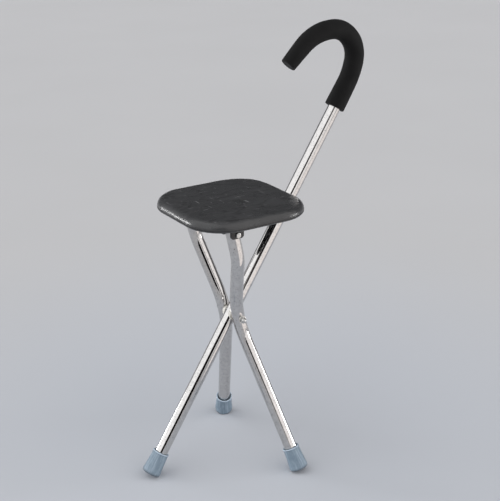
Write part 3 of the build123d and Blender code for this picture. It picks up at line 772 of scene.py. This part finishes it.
# %% Lathe helper
def turned(bm, outline, place, way, steps=64, closed=False, soft=0.0):
    """Spins a half outline of (radius, height) points and stands it at a place along a way."""
    lathe = bmesh.new()
    upright = lathe.verts.layers.float_vector.new("upright")
    points = [lathe.verts.new((radius, 0, level)) for radius, level in outline]
    pairs = list(zip(points, points[1:] + points[:1])) if closed else list(zip(points, points[1:]))
    edges = [lathe.edges.new(pair) for pair in pairs]
    bmesh.ops.spin(lathe, geom=points + edges, axis=(0, 0, 1), cent=(0, 0, 0), angle=2 * pi, steps=steps,
                   use_merge=True)
    bmesh.ops.remove_doubles(lathe, verts=lathe.verts, dist=0.000002)
    if soft:
        round_off(lathe, sharp_edges(lathe, 38), soft, 2)
    for vert in lathe.verts:
        vert[upright] = vert.co
    bmesh.ops.transform(lathe, matrix=facing(place, way), verts=lathe.verts)
    add_to(bm, lathe)


# %% [markdown]
# ## The three feet
# A foot is a thick rubber cup. It flares from its mouth to its base, has a bead round the mouth with a
# groove under it, a low band round the base, and rings cut in the sole so that it doesn't slip. The cup
# stands clear of the tube at the mouth, which leaves the dark ring that is seen there.

# %% Feet
FOOT_FLOOR, DISC = 9.0, 1.5
FOOT_OUTLINE = [
    (0, 0), (4, 0), (4.3, 1.2), (5.9, 1.2), (6.2, 0), (8.5, 0), (8.8, 1.2), (10.4, 1.2), (10.7, 0),
    (13.0, 0), (14.5, 0.4), (15.6, 1.5), (16.0, 3.0), (16.05, 6.3), (15.75, 6.9), (15.75, 7.3),
    (15.45, 12), (14.95, 19), (14.45, 26), (14.1, 32), (13.85, 36.6), (13.55, 37.4), (13.75, 38.0),
    (14.5, 38.5), (14.75, 39.4), (14.6, 40.4), (14.0, 41.0), (13.0, 41.0), (12.5, 40.6), (12.3, 39.5),
    (11.04, 37.6), (11.04, 10.6), (0, 10.6),
]
foot_outline = [(radius * MM, level * MM) for radius, level in FOOT_OUTLINE]
foot_body = {"main": "cane", "front": "legs", "rear": "legs"}
WAIST_MIDDLE, WAIST_RADIUS, LEG_SPLAY = 23.56 * MM, 110 * MM, 22.5
waist_spread = WAIST_MIDDLE - WAIST_RADIUS * (1 / cos(radians(LEG_SPLAY)) - 1)
for name, body in foot_body.items():
    disc = middle(f"{name}_foot_washer")
    corner = pivot + ACROSS * (SIDES.get(name, 0) * waist_spread)
    up_way = (corner - disc).normalized()
    sole = disc - up_way * (FOOT_FLOOR + DISC / 2) * MM
    bm = bmesh.new()
    turned(bm, foot_outline, sole, up_way, steps=96, soft=0.25 * MM)
    piece_from(bm, f"{name}_rubber_foot", "foot_rubber", body, f"{name}_foot", corner=50)

# %% [markdown]
# ## Hexagon heads and nuts
# A real hexagon head has its top corners taken off by a cone, so each flat ends in a little arc. A
# six-sided cylinder with a bevel lacks those arcs. Here a ring of many points is pushed out to the
# hexagon, drawn up, and its upper edge lowered at each corner by the cone.


# %% Hexagon helper
TOP_SHARE, CONE_ANGLE = 0.93, 28


def hexagon(bm, place, way, flats, tall, both_ends=False, sides=48):
    """A hexagon head or nut of that width across flats, standing at a place along a way."""
    head = bmesh.new()
    inner = flats / 2
    flat_top = inner * TOP_SHARE

    def reach(angle):
        return inner / cos((angle + pi / 6) % (pi / 3) - pi / 6)

    ring = bmesh.ops.create_circle(head, segments=sides, radius=inner)["verts"]
    angles = {vert: atan2(vert.co.y, vert.co.x) for vert in ring}
    cone = tan(radians(CONE_ANGLE))
    for vert, angle in angles.items():
        vert.co = Vector((cos(angle), sin(angle), 0)) * reach(angle)
        if both_ends:
            vert.co.z = (reach(angle) - flat_top) * cone
    edges = list(head.edges)
    lower = list(head.edges)
    for level in ("top_edge", "top"):
        grown = bmesh.ops.extrude_edge_only(head, edges=edges)["geom"]
        edges = [item for item in grown if isinstance(item, bmesh.types.BMEdge) and item.is_boundary]
        edges = [edge for edge in edges if edge not in lower]
        for vert in {vert for edge in edges for vert in edge.verts}:
            angle = atan2(vert.co.y, vert.co.x)
            if level == "top_edge":
                vert.co.z = tall - (reach(angle) - flat_top) * cone
            else:
                vert.co = Vector((flat_top * cos(angle), flat_top * sin(angle), tall))
    bmesh.ops.contextual_create(head, geom=edges)
    if both_ends:
        grown = bmesh.ops.extrude_edge_only(head, edges=lower)["geom"]
        lower = [item for item in grown if isinstance(item, bmesh.types.BMEdge) and item.is_boundary]
        for vert in {vert for edge in lower for vert in edge.verts}:
            angle = atan2(vert.co.y, vert.co.x)
            vert.co = Vector((flat_top * cos(angle), flat_top * sin(angle), 0))
    bmesh.ops.contextual_create(head, geom=lower)
    bmesh.ops.transform(head, matrix=facing(place, way), verts=head.verts)
    add_to(bm, head)


# %% [markdown]
# ## The pivot
# One long bolt holds all three tubes. Its hexagon head sits on the rear leg and a dome nut closes the
# front end, each on a washer with rounded edges.

# %% Pivot hardware
PIVOT_FLATS, PIVOT_BOLT, HEAD_TALL, NUT_TALL, DOME = 10 * MM, 6 * MM, 4 * MM, 4.5 * MM, 4.3 * MM
WASHER, WASHER_THICK = 14 * MM, 1.2 * MM
washer_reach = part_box("pivot_washers")[1].y
washer_ring = [(PIVOT_BOLT / 2, 0), (WASHER / 2, 0), (WASHER / 2, WASHER_THICK),
               (PIVOT_BOLT / 2, WASHER_THICK)]

bm = bmesh.new()
for side in SIDES.values():
    seat_point = pivot + ACROSS * side * (washer_reach - WASHER_THICK)
    turned(bm, washer_ring, seat_point, ACROSS * side, closed=True, soft=0.3 * MM)
piece_from(bm, "pivot_washer_pair", "bright_steel", "legs", "pivot_washers")

bm = bmesh.new()
hexagon(bm, pivot + ACROSS * washer_reach, ACROSS, PIVOT_FLATS, HEAD_TALL)
shank_end = 2 * washer_reach + 0.5 * HEAD_TALL
shank = [(0, 0), (PIVOT_BOLT / 2, 0), (PIVOT_BOLT / 2, shank_end), (0, shank_end)]
turned(bm, shank, pivot + ACROSS * (washer_reach + 0.1 * MM), -ACROSS, steps=32)
piece_from(bm, "pivot_hex_bolt", "bright_steel", "legs", "pivot_bolt")

bm = bmesh.new()
hexagon(bm, pivot - ACROSS * washer_reach, -ACROSS, PIVOT_FLATS, NUT_TALL)
DOME_STEPS, DOME_SINK, COLLAR_SINK = 12, 0.3 * MM, 1 * MM
leans = [radians(90 * k / DOME_STEPS) for k in range(DOME_STEPS + 1)]
dome = [(DOME * cos(lean), NUT_TALL - DOME_SINK + DOME * sin(lean)) for lean in leans]
dome = [(0, NUT_TALL - COLLAR_SINK), (DOME, NUT_TALL - COLLAR_SINK)] + dome[:-1] + [(0, dome[-1][1])]
turned(bm, dome, pivot - ACROSS * washer_reach, -ACROSS, steps=48)
piece_from(bm, "pivot_dome_nut", "bright_steel", "legs", "pivot_nut")

# %% [markdown]
# ## The hinge bolts
# Each leg's top is held between two ears by a bolt with its head outside and a nut inside, through whose
# middle the end of the thread shows. The thread is real rings, because a reader of the mesh would look
# for them.

# %% Hinge hardware
HINGE_FLATS, HINGE_BOLT, HINGE_HEAD, HINGE_NUT = 8 * MM, 5 * MM, 3.6 * MM, 5 * MM
EAR_INSET, THREADS, THREAD_PITCH, THREAD_DEPTH = 2 * MM, 9, 0.7 * MM, 0.35 * MM
ROOT_SHARE, CREST_SHARE = 0.35, 0.7
for name, side in SIDES.items():
    low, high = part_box(f"{name}_bracket")
    out_way = ACROSS * side
    outer = Vector((hinge.x, high.y if side > 0 else low.y, hinge.z))
    ear_outer = outer - out_way * EAR_INSET
    nut_seat = loose_middles("hinge_nuts")[0 if side < 0 else 1] + out_way * (HINGE_NUT / 2)
    bm = bmesh.new()
    hexagon(bm, ear_outer, out_way, HINGE_FLATS, HINGE_HEAD)
    long = (ear_outer - nut_seat).length + HINGE_NUT
    thread_start = long - HINGE_NUT - 1 * MM
    shank = [(0, 0), (HINGE_BOLT / 2, 0), (HINGE_BOLT / 2, thread_start)]
    for k in range(THREADS):
        shank += [(HINGE_BOLT / 2 - THREAD_DEPTH, thread_start + (k + ROOT_SHARE) * THREAD_PITCH),
                  (HINGE_BOLT / 2, thread_start + (k + CREST_SHARE) * THREAD_PITCH)]
    shank += [(HINGE_BOLT / 2 - 0.5 * MM, long + 0.3 * MM), (0, long + 0.3 * MM)]
    turned(bm, shank, ear_outer + out_way * 0.1 * MM, -out_way, steps=32)
    piece_from(bm, f"{name}_hinge_hex_bolt", "bright_steel", "seat", f"{name}_hinge_bolt")

bm = bmesh.new()
for name, side in SIDES.items():
    nut_seat = loose_middles("hinge_nuts")[0 if side < 0 else 1] + ACROSS * side * (HINGE_NUT / 2)
    hexagon(bm, nut_seat, -ACROSS * side, HINGE_FLATS, HINGE_NUT, both_ends=True)
piece_from(bm, "hinge_nut_pair", "bright_steel", "seat", "hinge_nuts")

# %% [markdown]
# ## The hinge brackets
# A bracket is a flat plate with two ears that hang down on each side of the leg. It is moulded, so no
# edge is sharp: the ears' lower corners are well rounded, and every other edge has a small radius that
# catches the light. The plain pieces have sharp edges, so the brackets are built again from blocks and
# bevelled.

# %% Brackets
EAR_WIDE, EAR_THICK, EAR_DROP, EAR_ROUND = 24 * MM, 4.5 * MM, 6.5 * MM, 5 * MM
PLATE_THICK, PLATE_MARGIN, EDGE = 3 * MM, 2 * MM, 0.6 * MM


def along(edge, way):
    return abs((edge.verts[1].co - edge.verts[0].co).normalized().dot(Vector(way))) > 0.99


for name, side in SIDES.items():
    low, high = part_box(f"{name}_bracket")
    bm = bmesh.new()
    plate = bmesh.new()
    block(plate, (low.x, low.y, high.z - PLATE_THICK), high)
    round_off(plate, [edge for edge in plate.edges if along(edge, (0, 0, 1))], EAR_ROUND, 8)
    round_off(plate, sharp_edges(plate, 50), EDGE, 2)
    add_to(bm, plate)
    for face_y in (low.y + PLATE_MARGIN, high.y - PLATE_MARGIN - EAR_THICK):
        ear = bmesh.new()
        block(ear, (hinge.x - EAR_WIDE / 2, face_y, hinge.z - EAR_DROP),
              (hinge.x + EAR_WIDE / 2, face_y + EAR_THICK, high.z - PLATE_THICK + EDGE * 2))
        lower = [edge for edge in ear.edges if along(edge, (0, 1, 0)) and edge.verts[0].co.z < hinge.z]
        round_off(ear, lower, EAR_ROUND, 8)
        round_off(ear, sharp_edges(ear, 50), EDGE, 2)
        add_to(bm, ear)
    piece_from(bm, f"{name}_hinge_bracket", "bracket_plastic", "seat", f"{name}_bracket", corner=40)
